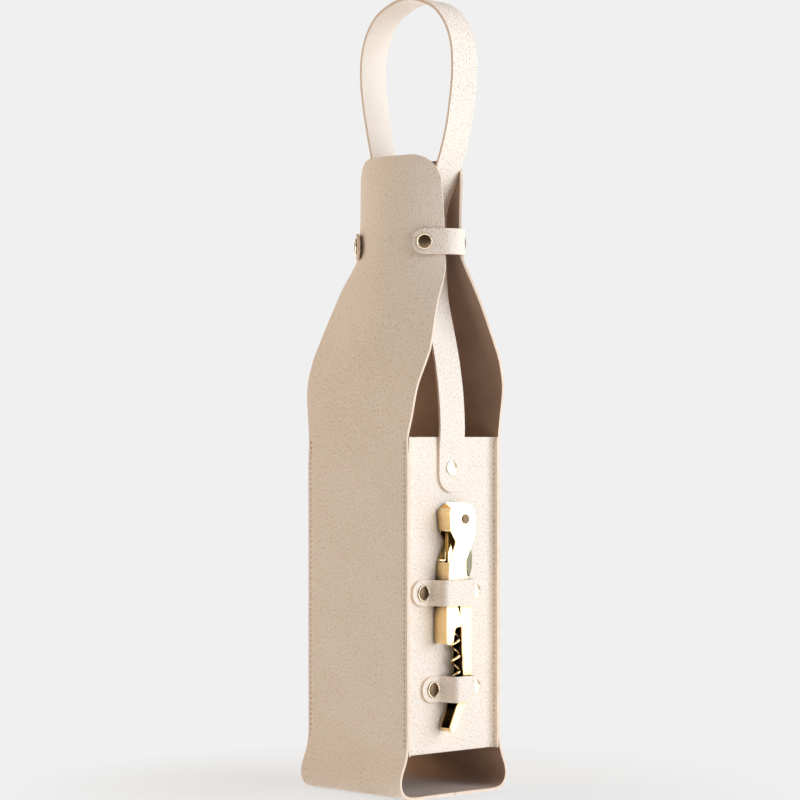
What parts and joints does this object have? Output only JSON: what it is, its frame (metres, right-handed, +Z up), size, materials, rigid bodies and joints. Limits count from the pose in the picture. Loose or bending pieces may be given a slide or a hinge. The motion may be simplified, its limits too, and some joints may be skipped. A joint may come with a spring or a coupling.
{
  "type": "bottle carrier",
  "caption": "Tall leather sleeve that carries a wine bottle, pinched at the neck by snap straps, with a looped carry strap and a folding corkscrew strapped to its side.",
  "frame": {"origin": "on the floor under the middle of the carrier's base", "axes": "+Z up, front panel towards -Y, the side with the corkscrew towards +X"},
  "size_m": [0.1013, 0.0868, 0.4658],
  "materials": {
    "leather": "pebbled grain, matt",
    "snap_metal": "polished gold plate",
    "tool_gold": "polished gold plate",
    "knife_steel": "satin"
  },
  "bodies": {
    "carrier": {"body_panel": "leather", "right_gusset": "leather", "left_gusset": "leather", "carry_strap": "leather", "right_carry_rivet": "snap_metal", "left_carry_rivet": "snap_metal", "upper_tool_tail": "leather", "lower_tool_tail": "leather", "upper_tool_rivet": "snap_metal", "lower_tool_rivet": "snap_metal", "upper_tool_stud": "snap_metal", "lower_tool_stud": "snap_metal"},
    "front": {"front_flap": "leather", "right_closure_stud": "snap_metal", "left_closure_stud": "snap_metal"},
    "back": {"back_flap": "leather", "right_closure_tail": "leather", "left_closure_tail": "leather", "right_closure_rivet": "snap_metal", "left_closure_rivet": "snap_metal"},
    "right_closure": {"right_closure_strap": "leather", "right_closure_cap": "snap_metal"},
    "left_closure": {"left_closure_strap": "leather", "left_closure_cap": "snap_metal"},
    "upper_tool": {"upper_tool_strap": "leather", "upper_tool_cap": "snap_metal"},
    "lower_tool": {"lower_tool_strap": "leather", "lower_tool_cap": "snap_metal"},
    "corkscrew": {"corkscrew_handle": "tool_gold", "head_pin": "tool_gold", "worm_pin": "tool_gold"},
    "lever": {"corkscrew_lever": "tool_gold", "boot_pin": "tool_gold"},
    "boot": {"corkscrew_boot": "tool_gold"},
    "worm": {"corkscrew_worm": "tool_gold"},
    "knife": {"foil_knife": "knife_steel"}
  },
  "joints": [
    {"name": "front_flap_open", "type": "hinge", "parent": "carrier", "child": "front", "pos_m": [0, -0.038, 0.208], "axis": [1, 0, 0], "range_deg": [0, 8]},
    {"name": "back_flap_open", "type": "hinge", "parent": "carrier", "child": "back", "pos_m": [0, 0.038, 0.208], "axis": [-1, 0, 0], "range_deg": [0, 8]},
    {"name": "right_closure_open", "type": "hinge", "parent": "back", "child": "right_closure", "pos_m": [0.04314, 0.00835, 0.3213], "axis": [0, 0, 1], "range_deg": [0, 130]},
    {"name": "left_closure_open", "type": "hinge", "parent": "back", "child": "left_closure", "pos_m": [-0.03314, 0.00835, 0.3213], "axis": [0, 0, -1], "range_deg": [0, 130]},
    {"name": "upper_tool_strap_open", "type": "hinge", "parent": "carrier", "child": "upper_tool", "pos_m": [0.04065, 0.01168, 0.118], "axis": [0, 0, 1], "range_deg": [0, 90]},
    {"name": "lower_tool_strap_open", "type": "hinge", "parent": "carrier", "child": "lower_tool", "pos_m": [0.04065, 0.01168, 0.06202], "axis": [0, 0, 1], "range_deg": [0, 90]},
    {"name": "corkscrew_lift", "type": "slide", "parent": "carrier", "child": "corkscrew", "axis": [1, 0, 0], "range_m": [0, 0.15]},
    {"name": "lever_swing", "type": "hinge", "parent": "corkscrew", "child": "lever", "pos_m": [0.0453, 0.0015, 0.1605], "axis": [-1, 0, 0], "range_deg": [0, 105]},
    {"name": "boot_swing", "type": "hinge", "parent": "lever", "child": "boot", "pos_m": [0.0453, -0.0095, 0.11703], "axis": [-1, 0, 0], "range_deg": [0, 20]},
    {"name": "worm_swing", "type": "hinge", "parent": "corkscrew", "child": "worm", "pos_m": [0.0453, -0.0012, 0.106], "axis": [-1, 0, 0], "range_deg": [0, 90]},
    {"name": "knife_swing", "type": "hinge", "parent": "corkscrew", "child": "knife", "pos_m": [0.0453, 0.0015, 0.1605], "axis": [1, 0, 0], "range_deg": [0, 105]}
  ],
  "couplings": [
    {"joint": "left_closure_open", "follows": "right_closure_open", "ratio": 1},
    {"joint": "front_flap_open", "follows": "right_closure_open", "ratio": 0.0615},
    {"joint": "back_flap_open", "follows": "right_closure_open", "ratio": 0.0615},
    {"joint": "lever_swing", "follows": "corkscrew_lift", "rad_per_m": 12.21},
    {"joint": "boot_swing", "follows": "corkscrew_lift", "rad_per_m": 2.32},
    {"joint": "worm_swing", "follows": "corkscrew_lift", "rad_per_m": 10.47}
  ]
}
